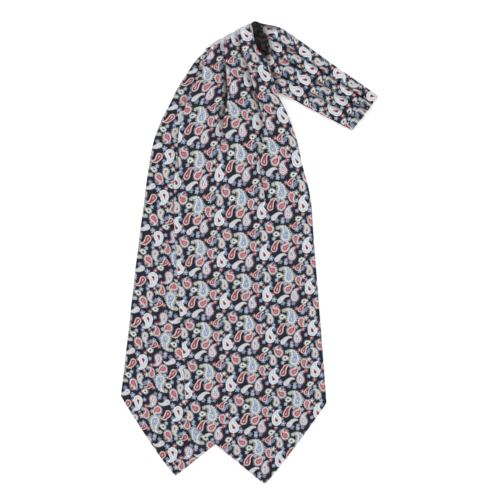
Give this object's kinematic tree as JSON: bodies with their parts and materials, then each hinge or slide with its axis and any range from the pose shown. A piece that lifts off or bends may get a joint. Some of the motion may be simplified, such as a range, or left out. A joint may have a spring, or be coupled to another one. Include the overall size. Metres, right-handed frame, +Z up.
{
  "type": "silk cravat laid flat",
  "caption": "Pointed silk day cravat laid out flat, its pleated neckband folded in two to one side and one blade lying over the other.",
  "frame": {"origin": "on the table, under the middle of the laid-out cravat's box", "axes": "+Z up from the table, +Y from the points towards the neck, +X towards the side that the neckband lies on"},
  "size_m": [0.2698, 0.4884, 0.0119],
  "materials": {
    "printed_silk": "fine twill silk, softly glossy, printed all over with a small paisley on a blue-black ground"
  },
  "bodies": {
    "root": {"front_blade": "printed_silk", "back_blade": "printed_silk", "neckband_upper": "printed_silk", "neckband_lower": "printed_silk"}
  },
  "joints": []
}
